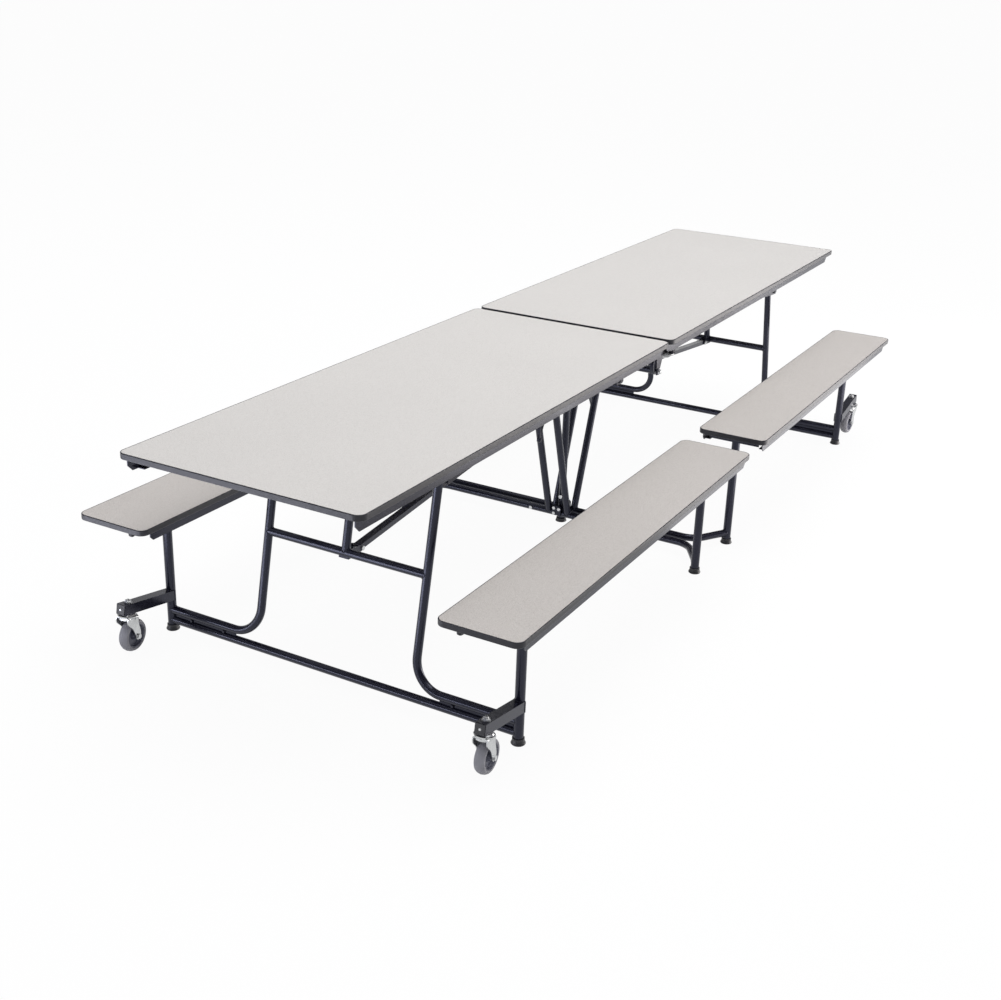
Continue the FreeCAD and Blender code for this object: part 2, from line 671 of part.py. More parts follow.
def centre_glides():
    feet = [glide(-CENTRE_LEG_X, -CENTRE_LEG_Y, LEG_TUBE)]
    feet += [left(f) for f in feet]
    feet += [far(f) for f in feet]
    pad = Part.makeCylinder(TUBE / 2.0 + 5, PAD_H).fuse(Part.makeCone(TUBE / 2.0 + 8, TUBE / 2.0 + 6, 6))
    return feet + [pad.removeSplitter()]


# ---- casters --------------------------------------------------------------

STEM_D = 12.0
STEM_ALONG = -ARM_LEN + 28
AXLE_DROP = 75.7
AXLE_D = 9.0
CROWN_TOP = -9.0
FORK_T = 3.0
FORK_GAP = 3.5
FORK_END_R = 10.0
TYRE_T = 13.0


def lathe(points, corner_r=0.0):
    """Solid of revolution about Y from (radius, y) corners."""
    face = Part.Face(Part.makePolygon([V(x, y, 0) for x, y in points + points[:1]]))
    shape = face.revolve(V(0, 0, 0), V(0, 1, 0), 360)
    if corner_r:
        rims = [e for e in shape.Edges if len(e.Vertexes) == 1 and e.Curve.Radius > points[0][0] + 1]
        shape = shape.makeFillet(corner_r, rims)
    return shape


def caster_stem():
    """Fixed stem through the arm, with its nut on top and race below."""
    nut = hex_bolt((0, 0, ARM), (0, 0, 1), STEM_D, ARM + 15, 18, 7)
    washer = Part.makeCylinder(12.5, 1.5, V(0, 0, ARM))
    dome = Part.makeSphere(7, V(0, 0, ARM + 4.5)).common(Part.makeCylinder(9, 9, V(0, 0, ARM + 4.5)))
    race = Part.makeCone(26, 22, 4, V(0, 0, -4))
    return nut.fuse([washer, dome, race]).removeSplitter()


def fork_leg_outline():
    """Side of the fork: broad under the crown, waisted, round at the axle."""
    z_axle = -AXLE_DROP
    front = Part.BSplineCurve()
    front.interpolate([V(-24, 0, -14), V(-20, 0, -30), V(-2, 0, -44), V(12, 0, -62),
                       V(TRAIL - FORK_END_R, 0, z_axle)])
    back = Part.BSplineCurve()
    back.interpolate([V(TRAIL + FORK_END_R, 0, z_axle), V(TRAIL + 9, 0, -60), V(30, 0, -40),
                      V(26, 0, -14)])
    end = Part.Arc(V(TRAIL - FORK_END_R, 0, z_axle), V(TRAIL, 0, z_axle - FORK_END_R),
                   V(TRAIL + FORK_END_R, 0, z_axle))
    top = Part.makePolygon([V(26, 0, -14), V(26, 0, CROWN_TOP), V(-24, 0, CROWN_TOP), V(-24, 0, -14)])
    return Part.Face(Part.Wire([front.toShape(), end.toShape(), back.toShape()] + top.Edges))


def caster_fork():
    """Swivel crown and pressed yoke that hold the axle, trailing towards +X."""
    half = WHEEL_W / 2.0 + FORK_GAP
    outer = half + FORK_T
    side = fork_leg_outline()
    side.translate(V(0, -outer, 0))
    block = side.extrude(V(0, 2 * outer, 0))
    rims = [e for e in block.Edges if abs(e.CenterOfMass.z - CROWN_TOP) < 0.01
            and abs(abs(e.CenterOfMass.y) - outer) < 0.01]
    block = block.makeFillet(5, rims)
    space = box(-60, 90, -half, half, -200, CROWN_TOP - FORK_T)
    rims = [e for e in space.Edges if abs(e.CenterOfMass.z - CROWN_TOP + FORK_T) < 0.01
            and abs(abs(e.CenterOfMass.y) - half) < 0.01]
    yoke = block.cut(space.makeFillet(3, rims))
    crown = Part.makeCone(27, 29, 5, V(0, 0, CROWN_TOP - 1)).fuse(
        Part.makeCylinder(25, 6, V(0, 0, CROWN_TOP - FORK_T - 6)))
    axle = rod(V(TRAIL, -outer - 2, -AXLE_DROP), V(TRAIL, outer + 2, -AXLE_DROP), AXLE_D)
    heads = [hex_bolt((TRAIL, s * outer, -AXLE_DROP), (0, s, 0), AXLE_D, 1, 14, 5) for s in (-1, 1)]
    bore = Part.makeCylinder(STEM_D / 2.0 + RUN, 40, V(0, 0, -30))
    return yoke.fuse([crown, axle] + heads).cut(bore).removeSplitter()


def caster_tyre():
    """Cushion rubber tread with full, rounded shoulders."""
    r, w = WHEEL_D / 2.0, WHEEL_W / 2.0
    seat = r - TYRE_T
    crown = Part.Arc(V(r - 5, -w + 1.2, 0), V(r, 0, 0), V(r - 5, w - 1.2, 0))
    right = Part.Arc(V(r - 8.5, -w, 0), V(r - 6.4, -w + 0.4, 0), V(r - 5, -w + 1.2, 0))
    other = Part.Arc(V(r - 5, w - 1.2, 0), V(r - 6.4, w - 0.4, 0), V(r - 8.5, w, 0))
    sides = Part.makePolygon([V(r - 8.5, w, 0), V(seat, w - 1, 0), V(seat, -w + 1, 0), V(r - 8.5, -w, 0)])
    face = Part.Face(Part.Wire([right.toShape(), crown.toShape(), other.toShape()] + sides.Edges))
    shape = face.revolve(V(0, 0, 0), V(0, 1, 0), 360)
    shape.translate(V(TRAIL, 0, -AXLE_DROP))
    return shape


def caster_hub():
    """Dished hub with a raised boss and rim."""
    r = WHEEL_D / 2.0 - TYRE_T
    bore = AXLE_D / 2.0 + RUN
    w = WHEEL_W / 2.0
    shape = lathe([(bore, -w), (10, -w), (13, -6), (r - 7, -5), (r - 3, -w + 2), (r, -w + 2),
                   (r, w - 2), (r - 3, w - 2), (r - 7, 5), (13, 6), (10, w), (bore, w)])
    shape.translate(V(TRAIL, 0, -AXLE_DROP))
    return shape


def at_arm(shape, turn):
    """Place a caster piece, swivelled by turn, on the near right arm."""
    shape = shape.copy()
    shape.rotate(V(0, 0, 0), V(0, 0, 1), turn)
    shape.translate(V(STEM_ALONG, 0, 0))
    place_arm(shape)
    return shape


def export_casters():
    corners = (("near_right", 3, False, False), ("near_left", -6, False, True),
               ("far_right", 3, True, False), ("far_left", -6, True, True))
    for name, turn, is_far, is_left in corners:
        for piece, make in (("fork", caster_fork), ("tyre", caster_tyre), ("hub", caster_hub)):
            shape = at_arm(make(), turn)
            shape = left(shape) if is_left else shape
            put(name + "_caster_" + piece, [far(shape) if is_far else shape])


# ---- the whole table --------------------------------------------------------

def end_frame_sets(run):
    """Node name ending and solids of the near end frame."""
    arms = both_sides(caster_arm())
    plugs = both_sides(arm_plug())
    stems = both_sides(at_arm(caster_stem(), 0))
    feet = both_sides(glide(-LEG_X, -LEG_Y, LEG_TUBE))
    return (("cross_tube", [cross_tube(), web_strip(-1), web_strip(1)]),
            ("j_tubes", [j_tube(-1), j_tube(1)]),
            ("upper_bars", [crossbar(), stub(), pivot_tube(-END_PIVOT_X), brace_saddle()]),
            ("bench_legs", both_sides(bench_leg(run))),
            ("caster_arms", arms),
            ("arm_plugs", plugs + feet),
            ("end_bolts", stems + both_sides(plug_rivet()) + brace_bolt()))


def export_tops():
    board, band = top_parts()
    plates = both_sides(latch_plate())
    pins = pivot_bolts(-END_PIVOT_X) + pivot_bolts(-TOP_PIVOT_X)
    steel = top_steel()
    near_steel = [trim(piece, plates) for piece in steel] + plates + both_sides(latch_strap()) + pins
    lock = hex_bolt((-LOCK_X, -RAIL_Y + SHEET, LOCK_Z), (0, -1, 0), BOLT_D, 18, 16, 6)
    put("near_top_board", [board])
    put("near_top_band", [band])
    put("near_top_steel", near_steel)
    put("near_top_bolts", both_sides(lock))
    put("far_top_board", [far(board)])
    put("far_top_band", [far(band)])
    put("far_top_steel", [far(piece) for piece in steel + pins])
    put("far_top_bolts", both_sides(latch_cup()))


def export_benches():
    y = -BENCH_MID_Y
    board, band = bench_boards(y)
    sets = (("board", [board]), ("band", [band, bench_bumper(y + 60)]),
            ("steel", bench_steel(y)), ("bolts", bench_bolts()))
    for end in ("near", "far"):
        for side in ("right", "left"):
            for name, shapes in sets:
                turned = [left(s) for s in shapes] if side == "left" else shapes
                turned = [far(s) for s in turned] if end == "far" else turned
                put("_".join((end, side, "bench", name)), turned)


def export_frames():
    for name, shapes in end_frame_sets(RUN):
        put("near_" + name, shapes)
    for name, shapes in end_frame_sets(OPEN_RUN):
        put("far_" + name, [far(s) for s in shapes])
    legs = both_sides(centre_leg())
    tubes = [v_tube(-V_Y), v_tube(V_Y)]
    arms = both_sides(bench_arm(OPEN_RUN)) + [far(a) for a in both_sides(bench_arm(RUN))]
    lugs = [brace_lug(), far(brace_lug())]
    put("centre_legs", legs + [far(s) for s in legs])
    put("centre_cross_tubes", [centre_cross_tube(), far(centre_cross_tube())])
    put("centre_v_tubes", tubes + [far(s) for s in tubes] + [centre_post()])
    put("centre_bracket", [floor_bracket().cut(centre_bolts())] + lugs)
    put("centre_upper_bars", upper_cross())
    put("centre_bench_arms", arms)
    put("centre_glides", centre_glides())
    put("centre_bolts", centre_bolts())
    put("near_brace", [brace(RUN, OPEN_RUN)])
    put("far_brace", [far(brace(OPEN_RUN, RUN))])


export_tops()
export_benches()
export_frames()
export_casters()
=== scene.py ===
import json
import math

import bmesh
import bpy
from mathutils import Matrix, Vector


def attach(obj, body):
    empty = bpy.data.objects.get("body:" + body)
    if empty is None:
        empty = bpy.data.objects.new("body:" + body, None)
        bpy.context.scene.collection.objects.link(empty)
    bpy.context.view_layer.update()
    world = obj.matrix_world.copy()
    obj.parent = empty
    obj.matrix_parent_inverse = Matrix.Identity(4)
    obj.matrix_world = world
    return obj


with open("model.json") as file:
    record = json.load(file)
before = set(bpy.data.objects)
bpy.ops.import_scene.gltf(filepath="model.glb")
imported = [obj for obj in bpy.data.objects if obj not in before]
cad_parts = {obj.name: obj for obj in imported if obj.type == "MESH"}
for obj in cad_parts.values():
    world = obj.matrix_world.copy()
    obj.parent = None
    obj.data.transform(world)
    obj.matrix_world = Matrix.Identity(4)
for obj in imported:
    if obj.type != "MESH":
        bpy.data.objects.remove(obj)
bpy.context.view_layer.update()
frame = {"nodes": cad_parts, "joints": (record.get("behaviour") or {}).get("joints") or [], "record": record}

nodes = frame["nodes"]
scene = bpy.context.scene

MM = 0.001  # the frame is in metres, the shapes below are in millimetres


# ---- materials --------------------------------------------------------------

def new_material(name):
    material = bpy.data.materials.new(name)
    material.use_nodes = True
    return material, material.node_tree, material.node_tree.nodes["Principled BSDF"]


def add(tree, kind, **values):
    """New node; each value goes to its socket of that name, or else to its setting."""
    node = tree.nodes.new(kind)
    for key, value in values.items():
        if key in node.inputs:
            node.inputs[key].default_value = value
        else:
            setattr(node, key, value)
    return node


def position(tree):
    """Object coordinates, in metres in the table's own frame."""
    return add(tree, "ShaderNodeTexCoord").outputs["Object"]


def noise(tree, where, scale, detail):
    texture = add(tree, "ShaderNodeTexNoise", Scale=scale, Detail=detail)
    tree.links.new(where, texture.inputs["Vector"])
    return texture.outputs["Fac"]


def ramp(tree, source, stops):
    node = add(tree, "ShaderNodeValToRGB")
    elements = node.color_ramp.elements
    while len(elements) < len(stops):
        elements.new(0.5)
    for element, (place, color) in zip(elements, stops):
        element.position = place
        element.color = (*color, 1.0)
    tree.links.new(source, node.inputs["Fac"])
    return node.outputs["Color"]


def grey_ramp(tree, source, low, high, dark, light):
    return ramp(tree, source, [(low, (dark, dark, dark)), (high, (light, light, light))])


def multiply(tree, a, b):
    node = add(tree, "ShaderNodeMix", data_type="RGBA", blend_type="MULTIPLY")
    factor, first, second = node.inputs[0], node.inputs[6], node.inputs[7]
    factor.default_value = 1.0
    tree.links.new(a, first)
    tree.links.new(b, second)
    return node.outputs[2]


def cloudy_color(tree, shader, where, scale, detail, dark, light):
    """Base colour that drifts softly between two close colours."""
    color = ramp(tree, noise(tree, where, scale, detail), [(0.3, dark), (0.7, light)])
    tree.links.new(color, shader.inputs["Base Color"])


def cloudy_roughness(tree, shader, where, scale, low, high):
    """Roughness that drifts softly between two values."""
    rough = grey_ramp(tree, noise(tree, where, scale, 3.0), 0.3, 0.7, low, high)
    tree.links.new(rough, shader.inputs["Roughness"])


def grain(tree, shader, where, scale, strength, distance):
    """Fine bumps all over; distance is in metres."""
    node = add(tree, "ShaderNodeBump", Strength=strength, Distance=distance)
    tree.links.new(noise(tree, where, scale, 2.0), node.inputs["Height"])
    tree.links.new(node.outputs["Normal"], shader.inputs["Normal"])


def laminate(name, base, dark, light):
    """Matte plastic laminate with fine darker and lighter specks."""
    material, tree, shader = new_material(name)
    where = position(tree)
    cells = add(tree, "ShaderNodeTexVoronoi", Scale=1150.0)
    tree.links.new(where, cells.inputs["Vector"])
    split = add(tree, "ShaderNodeSeparateColor")
    tree.links.new(cells.outputs["Color"], split.inputs["Color"])
    specks = ramp(tree, split.outputs["Red"], [(0.0, dark), (0.10, dark), (0.16, base),
                                               (0.82, base), (0.90, light)])
    patches = grey_ramp(tree, noise(tree, where, 2.3, 4.0), 0.35, 0.70, 0.975, 1.0)
    dust = grey_ramp(tree, noise(tree, where, 900.0, 2.0), 0.30, 0.70, 0.93, 1.0)
    color = multiply(tree, multiply(tree, specks, patches), dust)
    tree.links.new(color, shader.inputs["Base Color"])
    cloudy_roughness(tree, shader, where, 40.0, 0.46, 0.54)
    shader.inputs["Specular IOR Level"].default_value = 0.35
    grain(tree, shader, where, 1100.0, 0.10, 0.0002)
    return material


def plastic(name, dark, light, roughness, grain_scale, grain_strength, gloss=0.5):
    """Moulded or extruded plastic with a faint uneven surface."""
    material, tree, shader = new_material(name)
    where = position(tree)
    cloudy_color(tree, shader, where, 30.0, 4.0, dark, light)
    cloudy_roughness(tree, shader, where, 90.0, roughness - 0.05, roughness + 0.06)
    shader.inputs["Specular IOR Level"].default_value = gloss
    grain(tree, shader, where, grain_scale, grain_strength, 0.0003)
    return material


def powder_coat(name):
    """Black powder coat: a fine orange peel with a cool sheen."""
    material, tree, shader = new_material(name)
    where = position(tree)
    cloudy_color(tree, shader, where, 14.0, 3.0, (0.0055, 0.0055, 0.0120), (0.0080, 0.0080, 0.0160))
    cloudy_roughness(tree, shader, where, 55.0, 0.19, 0.26)
    shader.inputs["Specular IOR Level"].default_value = 0.44
    shader.inputs["Specular Tint"].default_value = (0.77, 0.80, 1.0, 1.0)
    grain(tree, shader, where, 420.0, 0.015, 0.0004)
    return material


def zinc(name):
    """Bright zinc plate, faintly cloudy."""
    material, tree, shader = new_material(name)
    where = position(tree)
    cloudy_color(tree, shader, where, 60.0, 4.0, (0.48, 0.49, 0.50), (0.57, 0.58, 0.58))
    cloudy_roughness(tree, shader, where, 110.0, 0.24, 0.34)
    shader.inputs["Metallic"].default_value = 1.0
    grain(tree, shader, where, 300.0, 0.02, 0.0003)
    return material


MATERIALS = {
    "top_laminate": laminate("top_laminate", base=(0.660, 0.641, 0.612),
                             dark=(0.50, 0.48, 0.46), light=(0.74, 0.72, 0.70)),
    "seat_laminate": laminate("seat_laminate", base=(0.538, 0.509, 0.479),
                              dark=(0.34, 0.31, 0.295), light=(0.66, 0.63, 0.61)),
    "edge_band": plastic("edge_band", (0.013, 0.013, 0.018), (0.018, 0.018, 0.024),
                         roughness=0.36, grain_scale=260.0, grain_strength=0.03, gloss=0.34),
    "black_steel": powder_coat("black_steel"),
    "zinc_hardware": zinc("zinc_hardware"),
    "black_plastic": plastic("black_plastic", (0.010, 0.010, 0.013), (0.016, 0.016, 0.020),
                             roughness=0.45, grain_scale=350.0, grain_strength=0.08),
    "grey_rubber": plastic("grey_rubber", (0.215, 0.215, 0.235), (0.250, 0.250, 0.275),
                           roughness=0.58, grain_scale=420.0, grain_strength=0.06),
    # The hub's dark blue-grey is darker than the hub's own grey: painted shade for the recessed dish of each
    # wheel.
    "caster_hub": plastic("caster_hub", (0.070, 0.075, 0.105), (0.088, 0.093, 0.128),
                          roughness=0.42, grain_scale=300.0, grain_strength=0.03),
}

slots = {row["node"]: row["material_slot"] for row in frame["record"]["subparts"]}
for node_name, node_object in nodes.items():
    node_object.data.materials.clear()
    node_object.data.materials.append(MATERIALS[slots[node_name]])


# ---- shapes for made pieces ---------------------------------------------------

class Shape:
    """Points in millimetres and faces, gathered for one piece."""

    def __init__(self):
        self.points = []
        self.faces = []

    def grid(self, rows, close=False):
        """Faces between neighbouring rings of points; close joins the last to the first."""
        first = len(self.points)
        count = len(rows[0])
        for row in rows:
            self.points += row
        last = len(rows) if close else len(rows) - 1
        for i in range(last):
            for j in range(count):
                a, b = first + i * count, first + (i + 1) % len(rows) * count
                k = (j + 1) % count
                self.faces.append((a + j, a + k, b + k, b + j))

    def cap(self, first, count):
        """One face over a ring of points."""
        self.faces.append(tuple(range(first, first + count)))


def frame_of(axis):
    """Two directions across an axis and the axis itself."""
    axis = Vector(axis).normalized()
    side = axis.orthogonal().normalized()
    return side, axis.cross(side), axis


def angles(count):
    return [2 * math.pi * k / count for k in range(count)]


def spokes(u, v, count):
    """Directions evenly round a circle in the plane of u and v."""
    return [u * math.cos(a) + v * math.sin(a) for a in angles(count)]


def turned(shape, profile, origin, axis, segments=28):
    """Surface of revolution from pairs of radius and height along the axis."""
    u, v, w = frame_of(axis)
    shape.grid([[Vector(origin) + w * height + spoke * radius for spoke in spokes(u, v, segments)]
                for radius, height in profile])


def swept(shape, path, radius_at, away_at, sides=8, close=True):
    """Round bar along a path; away_at gives a direction that isn't along it."""
    rows = []
    count = len(path)
    for i, point in enumerate(path):
        before = path[i - 1] if close or i else path[i]
        after = path[(i + 1) % count] if close or i + 1 < count else path[i]
        along = (after - before).normalized()
        out = away_at(i)
        out = (out - along * out.dot(along)).normalized()
        rows.append([point + spoke * radius_at(i) for spoke in spokes(out, along.cross(out), sides)])
    shape.grid(rows, close=close)


def wire_ring(shape, centre, u, v, radius, wire, sides, count):
    """Closed ring of round wire in the plane of u and v."""
    out = spokes(u, v, count)
    swept(shape, [centre + o * radius for o in out], lambda i: wire, lambda i: out[i], sides)


def coil(shape, origin, axis, radius, wire, turns, length):
    """Round-wire spring from origin along the axis."""
    per_turn = 20
    u, v, w = frame_of(axis)
    count = int(turns * per_turn)
    path, away = [], []
    for i in range(count + 1):
        a = 2 * math.pi * turns * i / count
        out = u * math.cos(a) + v * math.sin(a)
        path.append(Vector(origin) + w * (length * i / count) + out * radius)
        away.append(out)
    swept(shape, path, lambda i: wire, lambda i: away[i], sides=7, close=False)


def round_section(radius):
    return [(radius * math.cos(a), radius * math.sin(a)) for a in angles(56)]


def box_section(half_a, half_b, step=2.2):
    """Points round a rectangle, evenly spaced."""
    corners = [(-half_a, -half_b), (half_a, -half_b), (half_a, half_b), (-half_a, half_b)]
    points = []
    for k, (a, b) in enumerate(corners):
        end_a, end_b = corners[(k + 1) % 4]
        count = max(2, round((abs(end_a - a) + abs(end_b - b)) / step))
        for i in range(count):
            t = i / count
            points.append((a + (end_a - a) * t, b + (end_b - b) * t))
    return points


def weld(shape, end, out, section, main_axis, main_r, size=2.0, main_point=None, across=None):
    """Rippled bead where a bar that runs from end along out meets a round tube.

    The tube has main_axis, through main_point or else end, and radius main_r.
    The section is the bar's, with its first direction along across where that is given.
    """
    end, out, axis = Vector(end), Vector(out).normalized(), Vector(main_axis).normalized()
    centre = Vector(main_point) if main_point is not None else end
    if across is not None:
        u = Vector(across)
        u = (u - out * u.dot(out)).normalized()
        v = out.cross(u)
    else:
        u, v, _ = frame_of(out)
    path, away = [], []
    for a, b in section:
        # Where this line of the bar leaves the tube: a quadratic in the way t along out.
        start = end + u * a + v * b
        flat = (start - centre) - axis * (start - centre).dot(axis)
        run = out - axis * out.dot(axis)
        half_b = flat.dot(run)
        root = half_b * half_b - run.dot(run) * (flat.dot(flat) - main_r * main_r)
        t = (-half_b + math.sqrt(max(root, 0.0))) / run.dot(run)
        path.append(start + out * t)
        away.append((u * a + v * b).normalized())
    ripples = len(path) // 3

    def radius(i):
        return size * (1.0 + 0.13 * math.sin(2 * math.pi * ripples * i / len(path)))

    swept(shape, path, radius, lambda i: away[i] + out * 0.35)


def pan_screw(shape, origin, axis, radius=4.6, height=2.8):
    """Pan-head screw with a cross recess, head along the axis."""
    recess = 1.6
    segments = 32
    u, v, w = frame_of(axis)
    rows = []
    for share in (1.0, 1.0, 0.94, 0.80, 0.60, 0.46, 0.34, 0.20, 0.06):
        dome = height * math.sqrt(1.0 - 0.80 * share * share) if rows else 0.0
        row = []
        for a, spoke in zip(angles(segments), spokes(u, v, segments)):
            sunk = recess * abs(math.cos(2 * a)) ** 3 if share < 0.55 else 0.0
            sunk = recess if share < 0.12 else sunk
            row.append(Vector(origin) + w * (dome - sunk) + spoke * (radius * share))
        rows.append(row)
    start = len(shape.points)
    shape.grid(rows)
    shape.cap(start + segments * (len(rows) - 1), segments)


def piece(name, shape, body, slot, sharp=40.0):
    """Make the gathered points into one smooth-shaded piece that rides on a body."""
    mesh = bpy.data.meshes.new(name)
    mesh.from_pydata([p * MM for p in shape.points], [], shape.faces)
    work = bmesh.new()
    work.from_mesh(mesh)
    bmesh.ops.recalc_face_normals(work, faces=work.faces)
    work.to_mesh(mesh)
    work.free()
    for face in mesh.polygons:
        face.use_smooth = True
    mesh.set_sharp_from_angle(angle=math.radians(sharp))
    mesh.materials.append(MATERIALS[slot])
    made = bpy.data.objects.new(name, mesh)
    scene.collection.objects.link(made)
    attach(made, body)


# ---- made pieces --------------------------------------------------------------

# Sizes of the CAD model in millimetres, without signs: x and y count from the middle
# of the fold, z from the floor. sx is -1 at the near end, sy is -1 on the right side.
X, Y, Z = Vector((1, 0, 0)), Vector((0, 1, 0)), Vector((0, 0, 1))
LEG_R, TUBE_R = 14.3, 12.7
TUBE = round_section(TUBE_R)
SHEET = 2.5
LEG_X, LEG_Y = 1425.0, 605.0                  # outer bench leg
CROSS_Z, RUN_Z = 34.0, 68.0                   # cross tube and the J legs' run above it
J_Y = 271.0                                   # upright part of a J leg
BAR_X, BAR_Z = 1361.5, 386.0                  # crossbar between the J legs
END_PIVOT_X, TOP_PIVOT_X, PIVOT_Z = 1308.0, 220.0, 654.0
ARM_X, ARM_Z, ARM_HALF = 1424.3, 117.8, 16.0  # root of the square caster arm
ARM_RISE = math.radians(9.6)
CENTRE_LEG_X, CENTRE_LEG_Y = 150.0, 592.0
CENTRE_TUBE_Z = 40.0                          # cross tube of the middle frame
V_FOOT_X, V_Y = 25.6, 38.0                    # V tubes, from it to the upper pivot tubes
TURN_X, TURN_Y = 124.4, 77.7                  # way from a centre leg to the cross tube's bend
SEAT_ARM_Z, SEAT_ARM_HALF = 398.0, 10.0       # short arm from a centre leg to a seat
UPPER_BAR_HALF = (10.0, 11.6)                 # bar between the upper pivot tubes
FOLD_TUBE_Z, FOLD_TUBE_Y = 637.0, 313.0       # tube under the fold and its ends
TOP_UNDER, SEAT_UNDER = 732.0, 421.0          # undersides of the boards
SEAT_Y = 600.0
RAIL_Y, RAIL_LOW = 356.0, 695.5               # side channel's face and lower edge
LOCK_X, LOCK_Z = 33.0, 646.0                  # bolt of the lock plates
CUP_X, CUP_Y = 37.0, 345.0                    # axis of the spring cups


def end_frame_welds(sx):
    """Beads of one end frame."""
    shape = Shape()
    top = Vector((sx * END_PIVOT_X, 0.0, PIVOT_Z))
    bar = Vector((sx * BAR_X, 0.0, BAR_Z))
    for sy in (-1, 1):
        leg = Vector((sx * LEG_X, sy * LEG_Y, 0.0))
        for z in (CROSS_Z, RUN_Z):
            weld(shape, leg + Z * z, (0, -sy, 0), TUBE, Z, LEG_R, size=1.6, main_point=leg)
        knee = Vector((sx * LEG_X, sy * J_Y, RUN_Z))
        head = top + Y * sy * J_Y
        weld(shape, head, knee - head, TUBE, Y, TUBE_R)
        weld(shape, bar + Y * sy * J_Y, (0, -sy, 0), TUBE, head - knee, TUBE_R, main_point=head)
        weld(shape, (sx * ARM_X, sy * LEG_Y, ARM_Z), (sx * math.cos(ARM_RISE), 0, math.sin(ARM_RISE)),
             box_section(ARM_HALF, ARM_HALF), Z, LEG_R, size=1.9, main_point=leg, across=Y)
    weld(shape, bar, top - bar, TUBE, Y, TUBE_R)
    weld(shape, top, bar - top, TUBE, Y, TUBE_R)
    return shape


def centre_welds():
    """Beads of the middle frame."""
    shape = Shape()
    for sx in (-1, 1):
        for sy in (-1, 1):
            foot = Vector((sx * V_FOOT_X, sy * V_Y, CENTRE_TUBE_Z))
            head = Vector((sx * TOP_PIVOT_X, sy * V_Y, PIVOT_Z))
            weld(shape, foot, head - foot, TUBE, Y, TUBE_R)
            weld(shape, head, foot - head, TUBE, Y, TUBE_R)
            leg = Vector((sx * CENTRE_LEG_X, sy * CENTRE_LEG_Y, 0.0))
            weld(shape, leg + Z * CENTRE_TUBE_Z, (-sx * TURN_X, -sy * TURN_Y, 0), TUBE, Z, LEG_R,
                 size=1.7, main_point=leg)
            weld(shape, leg + Z * SEAT_ARM_Z, (sx, 0, 0), box_section(SEAT_ARM_HALF, SEAT_ARM_HALF),
                 Z, LEG_R, size=1.7, main_point=leg, across=Y)
            weld(shape, head, (-sx, 0, 0), box_section(*UPPER_BAR_HALF), Y, TUBE_R, size=1.7, across=Y)
    weld(shape, (0, 0, FOLD_TUBE_Z), -Z, TUBE, Y, TUBE_R)
    return shape


def top_screws(sx):
    """Screws up through the cross members and side channels into one board."""
    member_sheet, flange_y = 2.0, 343.0
    first, pitch = 95.0, 232.0
    shape = Shape()
    for x in (1757.0, 660.0, 68.5):
        for y in (-290.0, -145.0, 0.0, 145.0, 290.0):
            pan_screw(shape, (sx * x, y, TOP_UNDER - member_sheet), -Z)
    for k in range(8):
        for sy in (-1, 1):
            pan_screw(shape, (sx * (first + pitch * k), sy * flange_y, TOP_UNDER - SHEET), -Z)
    return shape


def seat_screws(sx, sy):
    """Screws up through the seat's two channels."""
    first, pitch, off_middle = 130.0, 240.0, 98.0
    shape = Shape()
    for k in range(7):
        for off in (-off_middle, off_middle):
            pan_screw(shape, (sx * (first + pitch * k), sy * SEAT_Y + off, SEAT_UNDER - SHEET), -Z,
                      radius=4.2, height=2.5)
    return shape


def hub_steps(centre, axis):
    """Raised steps of the hub's dish on both sides, round the rim and round the boss."""
    rim = [(28.6, 5.0), (29.4, 7.4), (30.6, 7.8), (31.8, 7.0), (32.2, 5.0)]
    boss = [(12.6, 6.0), (13.4, 8.4), (14.4, 8.8), (15.4, 8.2), (16.2, 5.4)]
    shape = Shape()
    for way in (-1, 1):
        for profile in (rim, boss):
            turned(shape, profile, centre, Vector(axis).normalized() * way)
    return shape


def tread_lines(centre, axis):
    """Fine moulded rings round the tyre."""
    shape = Shape()
    u, v, w = frame_of(axis)
    for height, radius in ((0.0, 49.9), (-7.5, 48.5), (7.5, 48.5), (-13.6, 42.0), (13.6, 42.0)):
        wire_ring(shape, centre + w * height, u, v, radius, wire=0.45, sides=6, count=96)
    return shape


def fold_tube_plugs():
    """Domed plugs in both ends of the tube under the fold."""
    profile = [(0.3, -6.0), (11.0, -6.0), (11.0, -0.2), (12.6, -0.2), (12.6, 1.2), (11.9, 2.4),
               (9.5, 3.3), (5.0, 3.9), (0.3, 4.0)]
    shape = Shape()
    for sy in (-1, 1):
        turned(shape, profile, (0.0, sy * FOLD_TUBE_Y, FOLD_TUBE_Z), (0, sy, 0), segments=40)
    return shape


def lock_nuts():
    """Round nuts outside the lock plates, and the coils on their bolts inside."""
    coil_y = 346.5
    profile = [(0.4, 2.0), (7.4, 2.0), (7.4, 7.4), (6.6, 9.6), (4.4, 11.2), (0.4, 11.8)]
    shape = Shape()
    for sy in (-1, 1):
        coil(shape, (-LOCK_X, sy * coil_y, LOCK_Z), (0, -sy, 0), radius=8.6, wire=1.3, turns=5.0,
             length=14.0)
        turned(shape, profile, (-LOCK_X, sy * (RAIL_Y - SHEET), LOCK_Z), (0, sy, 0), segments=40)
    return shape


def lock_washers():
    """Washers under the round nuts."""
    profile = [(0.4, -0.4), (11.2, -0.4), (11.8, 0.2), (11.8, 1.6), (11.0, 2.2), (0.4, 2.2)]
    shape = Shape()
    for sy in (-1, 1):
        turned(shape, profile, (-LOCK_X, sy * (RAIL_Y - SHEET), LOCK_Z), (0, sy, 0), segments=40)
    return shape


def cup_coils():
    """Springs inside the cups."""
    bottom = 683.5
    shape = Shape()
    for sy in (-1, 1):
        coil(shape, (CUP_X, sy * CUP_Y, bottom), Z, radius=9.0, wire=1.2, turns=4.0, length=11.0)
    return shape


